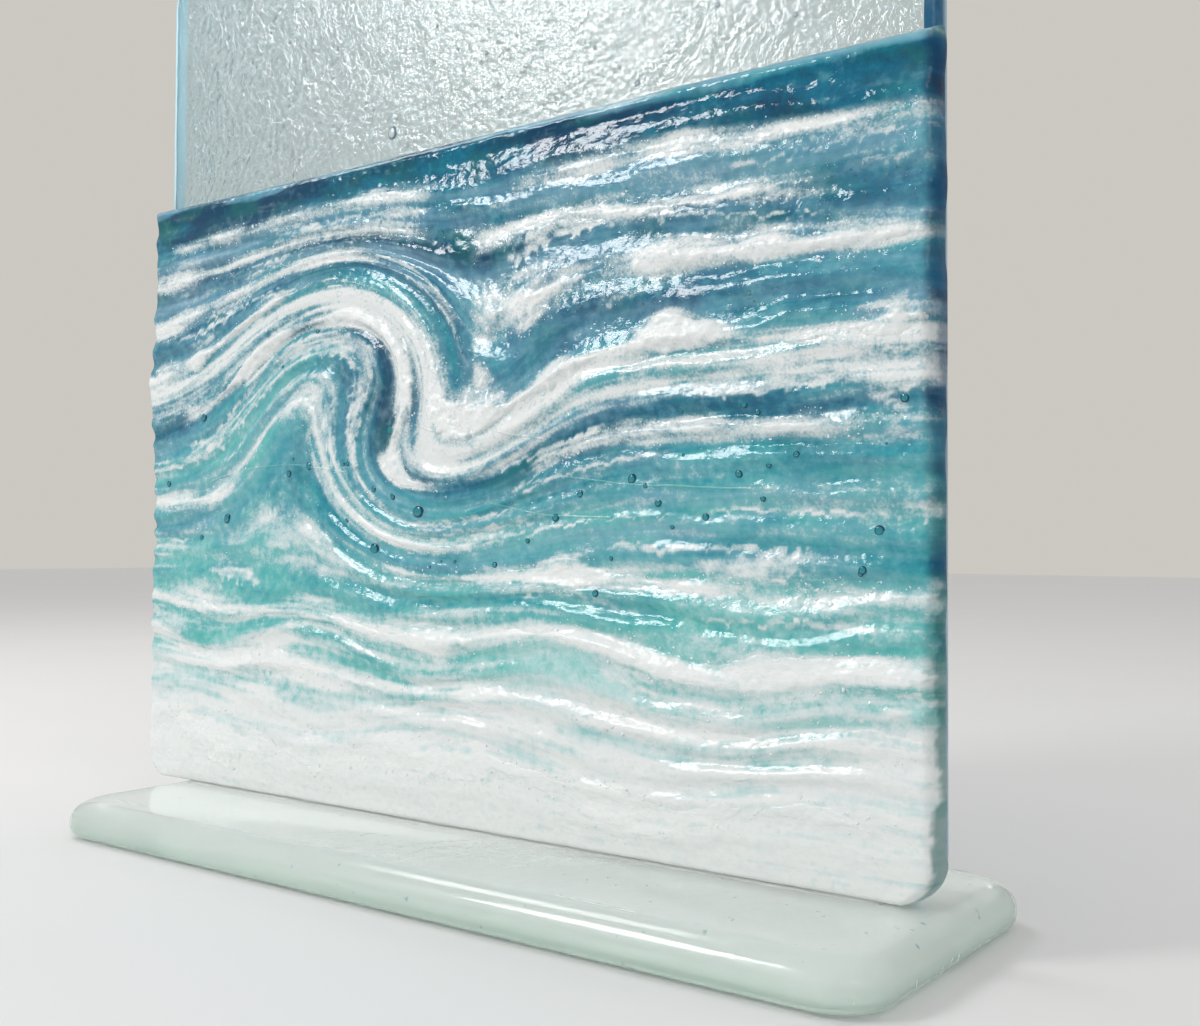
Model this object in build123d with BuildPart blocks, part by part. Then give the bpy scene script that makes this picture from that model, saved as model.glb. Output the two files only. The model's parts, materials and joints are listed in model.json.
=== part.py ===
"""Kiln-fused glass seascape panel, standing on a glass base slab.

Millimetres, +Z up. The picture faces -Y. The origin is on the table, at the middle of the whole outline.
"""

import os
from math import exp, pi, sin
from typing import NamedTuple

from build123d import *

# Base slab
base_length = 198.0
base_depth = 66.0
base_height = 8.0
base_corner_radius = 9.0
base_top_round = 4.5
base_foot_round = 2.5

# Back sheet, whose bare upper part is the sky
sheet_width = 203.0
panel_height = 200.0
sheet_thickness = 6.0
sheet_corner_radius = 8.0
sheet_edge_round = 2.2

# Where the panel stands, from the middle of the base to the middle of the back sheet
panel_shift_x = -7.0
panel_shift_y = 5.2

# Adhesive film under the panel's lower edge
bond_thickness = 0.2
bond_inset = 1.0

# Sea, laid on the front of the back sheet
sea_overhang = 1.0
sea_edge_round = 1.2
strip_corner_radius = 1.6
seam_gap = 0.1
line_points = 17
slope_step = 0.5

# The hump that the breaking wave makes in the lines around it
hump_middle = -30.0
hump_spread = 45.0

# Stringers and frit grains
stringer_width = 1.4
stringer_height = 0.9
stringer_round = 0.35
grain_radius = 0.8
grain_height = 0.7
grain_sides = 6
grain_taper = 18.0
grain_pitch = 3.4
grain_zigzag = 1.3


class Strip(NamedTuple):
    """A cut strip of coloured glass, with the shape of the line along its top."""

    name: str
    height: float
    thickness: float
    bulge: float
    tilt: float
    rise: float
    length: float
    start: float
    hump: float


class Foam(NamedTuple):
    """A deposit of white frit on one strip, placed along the sea and by its share of the strip's flat."""

    name: str
    strip: str
    start: float
    end: float
    share: float
    half_width: float
    thickness: float


class Thread(NamedTuple):
    """A stringer on one strip, with its share of the strip's flat at its start, middle and end."""

    strip: str
    start: float
    end: float
    shares: tuple


class Grains(NamedTuple):
    """A zigzag row of frit grains on one strip."""

    strip: str
    start: float
    share: float
    count: int


# Strips from the foot up: name, height, thickness, end bulge, then tilt, rise, length, start and hump of its top
STRIPS = [
    Strip("shore_strip", 19.0, 4.2, 0.0, -0.03, 2.6, 88.0, -20.0, 0.0),
    Strip("lower_wash_strip", 14.0, 3.8, 0.4, -0.04, 2.6, 70.0, 8.0, 0.0),
    Strip("upper_wash_strip", 13.0, 4.2, 0.6, -0.03, 2.2, 116.0, -10.0, 0.0),
    Strip("trough_strip", 12.0, 3.4, 0.3, -0.03, 1.6, 150.0, 30.0, 3.0),
    Strip("lower_face_strip", 15.0, 3.6, 0.5, -0.02, 1.0, 170.0, 40.0, 7.0),
    Strip("upper_face_strip", 15.0, 4.2, 0.6, -0.02, 1.2, 140.0, 60.0, 10.5),
    Strip("crest_strip", 11.0, 5.4, 0.8, -0.02, 1.4, 140.0, 60.0, 12.5),
    Strip("near_swell_strip", 15.0, 4.4, 0.6, -0.01, 1.4, 130.0, 15.0, 7.0),
    Strip("mid_swell_strip", 10.0, 3.6, 0.3, 0.0, 1.1, 110.0, -5.0, 4.0),
    Strip("far_swell_strip", 8.5, 4.2, 0.4, 0.0, 0.6, 90.0, 20.0, 1.0),
    Strip("horizon_strip", 8.5, 3.8, 0.3, 0.0, 0.2, 180.0, 0.0, 0.0),
]

# Places along the sea are measured from its left end, or from its right end where they are negative
# Foam: name, strip, start, end, share up the flat, half width and thickness
FOAM = [
    Foam("far_foam_left", "far_swell_strip", 16.0, 88.0, 0.6, 1.1, 0.7),
    Foam("far_foam_right", "far_swell_strip", -82.0, -6.0, 0.55, 1.3, 0.8),
    Foam("mid_foam_left", "mid_swell_strip", 5.0, 82.0, 0.6, 1.5, 0.9),
    Foam("mid_foam_right", "mid_swell_strip", -96.0, -26.0, 0.5, 1.5, 0.9),
    Foam("near_foam_left", "near_swell_strip", 4.0, 64.0, 0.62, 1.6, 1.0),
    Foam("near_foam_right", "near_swell_strip", -104.0, -3.0, 0.68, 2.1, 1.2),
    Foam("crest_foam", "crest_strip", 3.0, -3.0, 0.55, 3.4, 1.6),
    Foam("lip_foam", "upper_face_strip", 20.0, 100.0, 0.68, 3.2, 1.4),
    Foam("face_foam", "upper_face_strip", -70.0, -4.0, 0.4, 1.6, 0.9),
    Foam("foot_foam", "lower_face_strip", 5.0, 108.0, 0.3, 1.9, 1.0),
    Foam("trough_foam", "trough_strip", -138.0, -4.0, 0.52, 2.0, 1.1),
    Foam("upper_wash_foam", "upper_wash_strip", 3.0, -3.0, 0.58, 2.4, 1.3),
    Foam("lower_wash_foam", "lower_wash_strip", 3.0, -3.0, 0.6, 2.4, 1.2),
    Foam("shore_foam", "shore_strip", 12.0, -12.0, 0.6, 3.4, 1.0),
]
foam_points = 17
foam_swells = 3
foam_end_share = 0.6
foam_slope = 0.4

# Stringers on the wave's face: strip, start, end, and three shares up the flat
THREADS = [
    Thread("upper_face_strip", 104.0, 128.0, (0.34, 0.26, 0.24)),
    Thread("upper_face_strip", 88.0, 102.0, (0.22, 0.16, 0.14)),
    Thread("lower_face_strip", 112.0, 142.0, (0.44, 0.32, 0.28)),
    Thread("lower_face_strip", 132.0, 172.0, (0.86, 0.74, 0.70)),
    Thread("lower_face_strip", 24.0, 70.0, (0.68, 0.78, 0.66)),
]

# Frit grains: strip, start, share up the flat and count
GRAINS = [
    Grains("mid_swell_strip", 85.0, 0.5, 5),
    Grains("near_swell_strip", 12.0, 0.24, 7),
    Grains("trough_strip", 16.0, 0.5, 9),
    Grains("lower_wash_strip", 38.0, 0.16, 8),
]

sea_width = sheet_width + 2 * sea_overhang
sea_half = sea_width / 2
strip_named = {strip.name: strip for strip in STRIPS}
strip_order = [strip.name for strip in STRIPS]

# The outline's middle is the origin, so both base and panel move with the overall outline
panel_reach = sea_half + max(strip.bulge for strip in STRIPS)
outline_left = min(-base_length / 2, panel_shift_x - panel_reach)
outline_right = max(base_length / 2, panel_shift_x + panel_reach)
base_x = -(outline_left + outline_right) / 2
panel_x = base_x + panel_shift_x
panel_foot = base_height + bond_thickness
sheet_back = panel_shift_y + sheet_thickness / 2
sheet_front = sheet_back - sheet_thickness


def picture_plane(y):
    """The picture's plane at a depth, with X from the panel's middle, Y up from its foot and Z to the front."""
    return Plane((panel_x, y, panel_foot), x_dir=(1, 0, 0), z_dir=(0, -1, 0))


def strip_front(strip):
    """The depth of a strip's front face."""
    return sheet_front - strip.thickness


def top_line(strip, x):
    """The height of a strip's top line above the panel's foot."""
    below = strip_order.index(strip.name) + 1
    level = sum(lower.height for lower in STRIPS[:below])
    swell = strip.rise * sin(2 * pi * (x - strip.start) / strip.length)
    hump = strip.hump * exp(-(((x - hump_middle) / hump_spread) ** 2))
    return level + strip.tilt * x + swell + hump


def bottom_line(strip, x):
    """The height of the line under a strip, which is the panel's foot or the next strip's top line."""
    place = strip_order.index(strip.name)
    return top_line(STRIPS[place - 1], x) if place else 0.0


def flat_line(strip, x, share):
    """A height on the flat front of a strip, from 0 at the flat's lower edge to 1 at its upper edge."""
    margin = sea_edge_round + seam_gap / 2
    lowest = bottom_line(strip, x) + margin
    highest = top_line(strip, x) - margin
    return lowest + share * (highest - lowest)


def flat_direction(strip, x, share):
    """The direction of such a line at a place, to the right."""
    rise = flat_line(strip, x + slope_step, share) - flat_line(strip, x - slope_step, share)
    return Vector(2 * slope_step, rise).normalized()


def along_sea(place):
    """The X of a place along the sea, from its left end or, where it is negative, from its right end."""
    return place - sea_half if place >= 0 else place + sea_half


def stations(start, end, count):
    """Evenly spaced places along the picture."""
    return [start + (end - start) * step / (count - 1) for step in range(count)]


def keep(piece, name):
    """Label a finished piece and write it."""
    piece.label = name
    export_step(piece, f"parts/{name}.step")


def foam_outline(foam, inset):
    """A foam's upper and lower edges, the directions of its ends and its two tips, drawn in by an inset."""
    strip = strip_named[foam.strip]
    end_radius = foam.half_width * foam_end_share
    start = along_sea(foam.start) + end_radius
    end = along_sea(foam.end) - end_radius
    upper = []
    lower = []
    for x in stations(start, end, foam_points):
        along = (x - start) / (end - start)
        swell = foam_end_share + (1 - foam_end_share) * sin(pi * foam_swells * along) ** 2
        middle = Vector(x, flat_line(strip, x, foam.share))
        room = min(middle.Y - flat_line(strip, x, 0), flat_line(strip, x, 1) - middle.Y)
        half_width = min(foam.half_width * swell, room)
        across = flat_direction(strip, x, foam.share).rotate(Axis.Z, 90) * (half_width - inset)
        upper.append(middle + across)
        lower.append(middle - across)
    ends = [flat_direction(strip, start, foam.share), flat_direction(strip, end, foam.share)]
    left_tip = (upper[0] + lower[0]) / 2 - ends[0] * (end_radius - inset)
    right_tip = (upper[-1] + lower[-1]) / 2 + ends[1] * (end_radius - inset)
    return upper, lower, ends, left_tip, right_tip


os.makedirs("parts", exist_ok=True)

# Base slab
with BuildPart() as base_slab:
    with BuildSketch(Plane((base_x, 0, 0))):
        RectangleRounded(base_length, base_depth, base_corner_radius)
    extrude(amount=base_height)
    fillet(base_slab.faces().sort_by(Axis.Z)[-1].edges(), radius=base_top_round)
    fillet(base_slab.faces().sort_by(Axis.Z)[0].edges(), radius=base_foot_round)
keep(base_slab.part, "base_slab")

# Back sheet with rounded corners and fire-polished edges
with BuildPart() as back_sheet:
    with BuildSketch(picture_plane(sheet_back)):
        with Locations((0, panel_height / 2)):
            RectangleRounded(sheet_width, panel_height, sheet_corner_radius)
    extrude(amount=sheet_thickness)
    fillet(back_sheet.faces().sort_by(Axis.Y)[-1].edges(), radius=sheet_edge_round)
    fillet(back_sheet.faces().sort_by(Axis.Y)[0].edges(), radius=sheet_edge_round)
keep(back_sheet.part, "back_sheet")

# Adhesive film, where the flats of the panel's lower edge and of the base's top lie over each other
shore = strip_named["shore_strip"]
bond_front = strip_front(shore) + sea_edge_round
bond_back = sheet_back - sheet_edge_round
panel_flat = sheet_width / 2 - sheet_corner_radius - bond_inset
base_flat = base_length / 2 - base_top_round - bond_inset
bond_left = max(panel_x - panel_flat, base_x - base_flat)
bond_right = min(panel_x + panel_flat, base_x + base_flat)
with BuildPart() as bond_film:
    with BuildSketch(Plane(((bond_left + bond_right) / 2, (bond_front + bond_back) / 2, base_height))):
        SlotOverall(bond_right - bond_left, bond_back - bond_front)
    extrude(amount=bond_thickness)
keep(bond_film.part, "bond_film")

# Sea strips, each between the line below it and its own top line, with bulging ends
for index, strip in enumerate(STRIPS):
    places = stations(-sea_half, sea_half, line_points)
    upper = [(x, top_line(strip, x) - seam_gap / 2) for x in places]
    lowest = index == 0
    if lowest:
        lower = [(-sea_half, 0.0), (sea_half, 0.0)]
    else:
        lower = [(x, bottom_line(strip, x) + seam_gap / 2) for x in places]
    with BuildPart() as sea_strip:
        with BuildSketch(picture_plane(sheet_front)) as strip_outline:
            with BuildLine():
                Spline(*upper)
                if lowest:
                    Polyline(upper[0], lower[0], lower[-1], upper[-1])
                else:
                    Spline(*lower)
                    for end in (0, -1):
                        side = sea_half + strip.bulge
                        middle = (upper[end][1] + lower[end][1]) / 2
                        ThreePointArc(upper[end], (side if end else -side, middle), lower[end])
            make_face()
            corners = strip_outline.vertices()
            if lowest:
                fillet(corners.group_by(Axis.Y)[0], radius=sheet_corner_radius)
                corners = strip_outline.vertices().sort_by(Axis.Y)[-2:]
            fillet(corners, radius=strip_corner_radius)
        extrude(amount=strip.thickness)
        fillet(sea_strip.faces().sort_by(Axis.Y)[0].edges(), radius=sea_edge_round)
    keep(sea_strip.part, strip.name)

# Foam, as mounds that swell and narrow along the flat front of their strip, with round ends and sloping sides
for foam in FOAM:
    strip = strip_named[foam.strip]
    with BuildPart() as foam_mound:
        for rise, inset in ((0.0, 0.0), (foam.thickness, foam_slope)):
            with BuildSketch(picture_plane(strip_front(strip) - rise)):
                upper, lower, ends, left_tip, right_tip = foam_outline(foam, inset)
                with BuildLine():
                    Spline(*upper, tangents=ends)
                    ThreePointArc(upper[-1], right_tip, lower[-1])
                    Spline(*lower, tangents=ends)
                    ThreePointArc(lower[0], left_tip, upper[0])
                make_face()
        loft(ruled=True)
    keep(foam_mound.part, foam.name)

# Stringers, flat on the strips of the wave's face
with BuildPart() as face_stringers:
    for thread in THREADS:
        strip = strip_named[thread.strip]
        places = stations(along_sea(thread.start), along_sea(thread.end), len(thread.shares))
        route = [(x, flat_line(strip, x, share)) for x, share in zip(places, thread.shares)]
        with BuildSketch(picture_plane(strip_front(strip))):
            SlotArc(Edge.make_three_point_arc(*route), stringer_width)
        extrude(amount=stringer_height)
    for solid in face_stringers.solids():
        fillet(solid.faces().sort_by(Axis.Y)[0].edges(), radius=stringer_round)
keep(face_stringers.part, "face_stringers")

# Frit grains, as small faceted chips in zigzag rows
with BuildPart() as frit_grains:
    for row in GRAINS:
        strip = strip_named[row.strip]
        places = []
        for number in range(row.count):
            x = along_sea(row.start) + number * grain_pitch
            side = grain_zigzag / 2 if number % 2 else -grain_zigzag / 2
            places.append((x, flat_line(strip, x, row.share) + side))
        with BuildSketch(picture_plane(strip_front(strip))):
            with Locations(*places):
                RegularPolygon(grain_radius, grain_sides)
        extrude(amount=grain_height, taper=grain_taper)
keep(frit_grains.part, "frit_grains")
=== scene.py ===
"""Looks of a kiln-fused glass seascape on a glass base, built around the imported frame.

The file is laid out as an add-on and is run as a script. Inside the sea's functions lengths are in
millimetres, measured from the middle of the panel's foot: x to the right, z up, and height forward from
the back sheet's front.
"""

import json
from math import cos, pi, sin
from typing import NamedTuple

import bpy
import numpy as np
from bpy.props import FloatProperty, FloatVectorProperty, IntProperty, PointerProperty
from mathutils import Matrix, Vector


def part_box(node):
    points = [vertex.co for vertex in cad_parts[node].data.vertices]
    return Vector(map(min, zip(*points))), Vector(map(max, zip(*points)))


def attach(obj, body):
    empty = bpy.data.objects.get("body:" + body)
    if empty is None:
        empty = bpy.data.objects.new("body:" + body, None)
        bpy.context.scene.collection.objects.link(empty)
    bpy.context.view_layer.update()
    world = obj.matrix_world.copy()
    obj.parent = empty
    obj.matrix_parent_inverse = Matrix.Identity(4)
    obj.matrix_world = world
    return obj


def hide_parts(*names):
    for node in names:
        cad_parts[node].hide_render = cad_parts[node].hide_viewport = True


bl_info = {
    "name": "Fused glass seascape",
    "version": (1, 0, 0),
    "blender": (4, 5, 0),
    "location": "View3D > Sidebar > Seascape",
    "description": "Builds the finished pieces of a fused glass seascape panel on its base",
    "category": "Object",
}

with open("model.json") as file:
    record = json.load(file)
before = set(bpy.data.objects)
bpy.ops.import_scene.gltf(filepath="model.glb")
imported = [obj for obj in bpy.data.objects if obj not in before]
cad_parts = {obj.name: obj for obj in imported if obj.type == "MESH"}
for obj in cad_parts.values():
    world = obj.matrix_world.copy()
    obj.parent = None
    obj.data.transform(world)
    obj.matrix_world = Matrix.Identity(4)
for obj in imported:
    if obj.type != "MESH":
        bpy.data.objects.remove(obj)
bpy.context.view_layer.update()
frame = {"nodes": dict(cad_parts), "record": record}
MM = 0.001

# Sea strips from the foot up
STRIPS = [
    "shore_strip",
    "lower_wash_strip",
    "upper_wash_strip",
    "trough_strip",
    "lower_face_strip",
    "upper_face_strip",
    "crest_strip",
    "near_swell_strip",
    "mid_swell_strip",
    "far_swell_strip",
    "horizon_strip",
]
FOAM = sorted(name for name in frame["nodes"] if "_foam" in name)
SLOTS = {part["node"]: part["material_slot"] for part in frame["record"]["subparts"]}


def node_box(node):
    """A node's lowest and highest corners, in millimetres."""
    return [np.array(corner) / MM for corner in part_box(node)]


# The back sheet's corners, the middle of its foot in front, and its half width, depth and height
SHEET_LOW, SHEET_HIGH = node_box("back_sheet")
ORIGIN = np.array([(SHEET_LOW[0] + SHEET_HIGH[0]) / 2, SHEET_LOW[1], SHEET_LOW[2]])
SHEET_HALF = (SHEET_HIGH[0] - SHEET_LOW[0]) / 2
SHEET_DEPTH = SHEET_HIGH[1] - SHEET_LOW[1]
SHEET_TALL = SHEET_HIGH[2] - SHEET_LOW[2]

# How the melted glass reaches out, rounds off and sinks in, in millimetres
SEA_OVERHANG = 1.0
SEA_HALF = SHEET_HALF + SEA_OVERHANG
CORNER_RADIUS = 8.0
SHEET_ROUND = 2.2
END_ROUND = 2.6
HORIZON_ROUND = 2.4
FOOT_ROUND = 1.2
THIN_EDGE = 0.3
FUSE_GAP = 0.05
SHEET_GAP = 0.03
FOAM_WRAP = 7.0
FOAM_SEAT = 0.6
FOAM_SINK = 0.3
FOAM_CUT = 0.2
STRINGER_INSET = 0.6
STRINGER_SINK = 0.13
BASE_CORNER = 9.0
BASE_TOP_ROUND = 4.5
BASE_FOOT_ROUND = 2.5

# Edges that turn more than this stay sharp, in radians
SHARP_ANGLE = 1.1


# Frame outlines, where a point this near to the back lies on it, in millimetres

FLAT_WITHIN = 0.01


def panel_points(mesh):
    """The points of a node's mesh, in panel places."""
    points = np.empty(len(mesh.vertices) * 3, dtype=np.float32)
    mesh.vertices.foreach_get("co", points)
    return points.reshape(-1, 3) / MM - ORIGIN


def point_keys(points):
    """Points as rounded keys, so that all those at one place are alike."""
    return [tuple(key) for key in np.round(points, 2).tolist()]


def outline_segments(node):
    """The segments of a node's back outline, as X and Z ends."""
    mesh = frame["nodes"][node].data
    mesh.calc_loop_triangles()
    corners = np.empty(len(mesh.loop_triangles) * 3, dtype=np.int32)
    mesh.loop_triangles.foreach_get("vertices", corners)
    corners = corners.reshape(-1, 3)
    points = panel_points(mesh)
    flat = points[:, 1] > points[:, 1].max() - FLAT_WITHIN
    keys = point_keys(points[:, [0, 2]])
    uses = {}
    for triangle in corners[flat[corners].all(axis=1)]:
        for one, other in ((0, 1), (1, 2), (2, 0)):
            edge = tuple(sorted((keys[triangle[one]], keys[triangle[other]])))
            uses[edge] = uses.get(edge, 0) + 1
    return np.array([edge for edge, count in uses.items() if count == 1])


def outline_lines(node, places, margin):
    """Lowest and highest Z of a node's back outline at X places, held level past its ends less a margin."""
    ends = outline_segments(node)
    left = ends[:, :, 0].min(axis=1)
    right = ends[:, :, 0].max(axis=1)
    inside = places[(places > left.min() + margin) & (places < right.max() - margin)]
    low = []
    high = []
    for x in inside:
        cut = ends[(left <= x) & (x < right)]
        share = (x - cut[:, 0, 0]) / (cut[:, 1, 0] - cut[:, 0, 0])
        z = cut[:, 0, 1] + share * (cut[:, 1, 1] - cut[:, 0, 1])
        low.append(z.min())
        high.append(z.max())
    return np.interp(places, inside, low), np.interp(places, inside, high), left.min(), right.max()


# Noise, whose callers divide places by a bump's length in millimetres and give each use its own seed


def smooth_noise(u, v, seed):
    """Smooth noise from -1 to 1, about one bump to a unit."""
    size = 256
    table = np.random.default_rng(seed).uniform(-1, 1, (size, size))
    i = np.floor(u).astype(int)
    j = np.floor(v).astype(int)
    a = u - i
    b = v - j
    a = a * a * a * (a * (a * 6 - 15) + 10)
    b = b * b * b * (b * (b * 6 - 15) + 10)
    lower = table[i % size, j % size] * (1 - a) + table[(i + 1) % size, j % size] * a
    upper = table[i % size, (j + 1) % size] * (1 - a) + table[(i + 1) % size, (j + 1) % size] * a
    return lower * (1 - b) + upper * b


def rough_noise(u, v, seed, layers=3):
    """Layers of smooth noise, each about twice as fine and half as strong as the last."""
    total = np.zeros(np.broadcast(u, v).shape)
    weight = 0.6
    for layer in range(layers):
        total = total + weight * smooth_noise(u, v, seed + layer)
        u, v = 1.7 * u + 0.9 * v + 13.1, 1.7 * v - 0.9 * u + 7.7
        weight *= 0.55
    return total


def step(low, high, value):
    """A smooth step from 0 at low to 1 at high."""
    share = np.clip((value - low) / (high - low), 0, 1)
    return share * share * (3 - 2 * share)


# The sea's lines, relief and tints

# Places along the panel where the sea's lines are known, and how much of an outline's round ends they leave
LINE_REACH = 102.0
LINE_STEP = 0.5
STRIP_MARGIN = 4.0
FOAM_MARGIN = 0.3
PLACES = np.arange(-LINE_REACH, LINE_REACH + 0.01, LINE_STEP)
STRIP_LINES = [outline_lines(name, PLACES, STRIP_MARGIN) for name in STRIPS]
LINES = [np.zeros(len(PLACES))]
LINES += [(STRIP_LINES[k][1] + STRIP_LINES[k + 1][0]) / 2 for k in range(len(STRIPS) - 1)]
LINES += [STRIP_LINES[-1][1]]
LEVELS = np.array([line.mean() for line in LINES])
MIDDLES = (LEVELS[1:] + LEVELS[:-1]) / 2
THICKNESSES = np.array([SHEET_LOW[1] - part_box(name)[0][1] / MM for name in STRIPS])
FOAM_LINES = {name: outline_lines(name, PLACES, FOAM_MARGIN) for name in FOAM}
FOAM_RISE = {name: (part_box(name)[1][1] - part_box(name)[0][1]) / MM for name in FOAM}

# Middle, size and turn of the breaking wave's curl
CURL_X = -22.0
CURL_Z = 86.0
CURL_RADIUS = 30.0
CURL_SQUASH = 1.5
CURL_TURN = 1.9
RIDGE_SPACING = 6.2


class Band(NamedTuple):
    """The sea's colour at a level: depth from 0, navy, to 1, pale, then slate veil and milky white."""

    level: float
    depth: float
    veil: float
    milk: float


# Colour bands from the foot up
BANDS = [
    Band(0, 1.00, 0.00, 1.30),
    Band(13, 1.00, 0.00, 1.15),
    Band(19, 0.96, 0.00, 1.05),
    Band(24, 0.88, 0.00, 0.80),
    Band(29, 0.90, 0.00, 0.95),
    Band(34, 0.76, 0.00, 0.45),
    Band(40, 0.76, 0.00, 0.75),
    Band(46, 0.60, 0.05, 0.20),
    Band(52, 0.70, 0.25, 0.58),
    Band(58, 0.50, 0.40, 0.22),
    Band(66, 0.66, 0.35, 0.34),
    Band(73, 0.54, 0.45, 0.28),
    Band(80, 0.40, 0.45, 0.24),
    Band(86, 0.20, 0.10, 0.00),
    Band(91, 0.40, 0.40, 0.75),
    Band(97, 0.60, 0.40, 1.00),
    Band(101, 0.45, 0.60, 0.20),
    Band(106, 0.24, 0.40, 0.14),
    Band(112, 0.34, 0.45, 0.20),
    Band(116, 0.22, 0.75, 0.30),
    Band(119, 0.08, 0.10, 0.00),
    Band(124, 0.26, 0.80, 0.30),
    Band(129, 0.22, 0.60, 0.12),
    Band(132, 0.05, 0.10, 0.00),
    Band(138.6, 0.02, 0.00, 0.00),
    Band(139.6, 0.28, 0.90, 0.12),
    Band(141, 0.45, 1.00, 0.42),
]
BAND_LEVELS, *BAND_TINTS = zip(*BANDS)


def curl(x, z):
    """Where a point of the breaking wave came from before it was wound up."""
    dx = x - CURL_X
    dz = z - CURL_Z
    turn = CURL_TURN * np.exp(-(dx * dx + CURL_SQUASH * dz * dz) / CURL_RADIUS**2)
    return CURL_X + dx * np.cos(turn) - dz * np.sin(turn), CURL_Z + dx * np.sin(turn) + dz * np.cos(turn)


def flow(x, z):
    """Places along and across the sea's lines, wound up where the wave curls."""
    u, v = curl(x, z)
    heights = np.stack([np.interp(u, PLACES, line) for line in LINES])
    band = np.clip((v >= heights).sum(axis=0) - 1, 0, len(STRIPS) - 1)
    low = np.take_along_axis(heights, band[None], 0)[0]
    high = np.take_along_axis(heights, band[None] + 1, 0)[0]
    return u, LEVELS[band] + (LEVELS[band + 1] - LEVELS[band]) * (v - low) / (high - low)


def sea_end(z):
    """How far the sea reaches to each side at a height, with its melted edge and round lower corners."""
    bulge = 0.5 + 0.45 * smooth_noise(z / 5.5, 0 * z + 0.5, 40)
    below = np.clip(CORNER_RADIUS - z, 0, CORNER_RADIUS)
    return SEA_HALF + bulge - (CORNER_RADIUS - np.sqrt(CORNER_RADIUS**2 - below**2))


def sea_height(x, z):
    """The sea's relief, rounded off at its ends, its foot and its horizon."""
    u, w = flow(x, z)
    body = np.interp(w, MIDDLES, THICKNESSES)
    calm = step(0, 30, w)
    ridges = np.sin(2 * pi * (w / RIDGE_SPACING + 0.5 * rough_noise(u / 34, w / 16, 50)))
    swell = (0.15 + 0.4 * calm) * ridges * (0.55 + 0.45 * smooth_noise(u / 20, w / 7, 60))
    dents = 0.14 * rough_noise(u / 6, w / 2.4, 70) + 0.06 * rough_noise(x / 1.3, z / 1.3, 80, 2)
    top = np.interp(x, PLACES, LINES[-1]) - z
    ends = sea_end(z) - np.abs(x)
    edge = np.minimum(np.minimum(ends / END_ROUND, top / HORIZON_ROUND), (z + 0.1) / FOOT_ROUND)
    round_off = np.sqrt(1 - (1 - np.clip(edge, 0, 1)) ** 2)
    return (body + swell + dents) * round_off + THIN_EDGE * (1 - round_off)


def foam_field(name, x, z, fine=True):
    """How far inside a foam's ragged edge a point lies, in millimetres, below 0 outside."""
    low, high, left, right = FOAM_LINES[name]
    left = left - FOAM_WRAP if left < FOAM_WRAP - SEA_HALF else left
    right = right + FOAM_WRAP if right > SEA_HALF - FOAM_WRAP else right
    seed = 100 + 10 * FOAM.index(name)
    u, v = curl(x, z)
    middle = (np.interp(u, PLACES, low) + np.interp(u, PLACES, high)) / 2
    half = (np.interp(u, PLACES, high) - np.interp(u, PLACES, low)) / 2
    away = v - middle - 0.9 * half * smooth_noise(u / 26, 0 * u, seed)
    width = half * (0.7 + 2.0 * rough_noise(u / 19, 0 * u + 0.5, seed + 1, 2))
    inside = width - np.abs(away) + 0.7 * half * rough_noise(u / 10, away / 3.5, seed + 2)
    inside = np.minimum(inside, np.minimum(u - left, right - u) * 0.25 + 0.2)
    if fine:
        comb = np.clip(smooth_noise(u / 1.1, 0 * u, seed + 5) - 0.1, 0, 1) * step(0.4, -1.4, away)
        inside = inside + (0.15 + 0.2 * half) * comb
        inside = inside + (0.2 + 0.2 * half) * rough_noise(u / 2.3, away / 1.3, seed + 6, 3)
    return inside


def sea_tints(x, z):
    """What the sea's colour follows: depth, veil, white and rim, the painted shade at its ends, each from 0
    to 1.
    """
    u, w = flow(x, z)
    level = w + 2.4 * rough_noise(u / 30, w / 8, 300) + 0.8 * rough_noise(u / 8, w / 2.4, 310)
    depth, veil, milk = (np.interp(level, BAND_LEVELS, values) for values in BAND_TINTS)
    depth = depth + 0.2 * rough_noise(u / 32, w / 12, 320) + 0.14 * step(20, 100, x) * step(96, 120, w)
    pocket = np.exp(-((x - CURL_X) ** 2 + CURL_SQUASH * (z - CURL_Z) ** 2) / (0.7 * CURL_RADIUS) ** 2)
    depth = depth - 0.22 * pocket
    veil = veil * (0.7 + 0.8 * rough_noise(u / 26, w / 3, 330))
    near = np.max([foam_field(name, x, z, fine=False) for name in FOAM], axis=0)
    streaks = rough_noise(u / 20, w / 2.0, 340)
    broken = 0.36 + 0.54 * step(8, 40, level)
    milk = milk * (0.9 + broken * streaks)
    halo = step(-2.8, 0.4, near) * (0.7 + 0.6 * streaks)
    comb = 1.5 * np.clip(smooth_noise(u / 0.9, 0 * u, 350), 0, 1)
    threads = step(0.30, 0.06, np.abs(rough_noise(u / 40, (w + comb) / 4.0, 360, 2)))
    threads = threads * step(-0.15, 0.3, rough_noise(u / 24, w / 9, 370))
    threads = threads * (0.75 + 0.5 * rough_noise(u / 3, w, 380, 2))
    white = np.maximum(np.maximum(milk, halo), threads * step(132, 126, w) * 0.85)
    # Painted shade at the sea's ends: rim darkens the colour within about 2.7 mm of the ends, as if the glass
    # were seen through its whole width. It is less towards the foot and where there is white, and full at the
    # very edge.
    inset = sea_end(z) - np.abs(x) + 0.9 * rough_noise(z / 3, x / 3, 390)
    soft = step(2.7, 0.5, inset) * step(4, 60, z) * (1 - 0.6 * np.clip(white, 0, 1))
    rim = np.maximum(soft, 0.95 * step(1.0, 0.3, inset))
    tints = {"depth": depth, "veil": veil, "white": white, "rim": rim}
    tints = {key: np.clip(value, 0, 1) for key, value in tints.items()}
    return {**tints, "along": u * MM, "across": w * MM}


# Meshes


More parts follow.
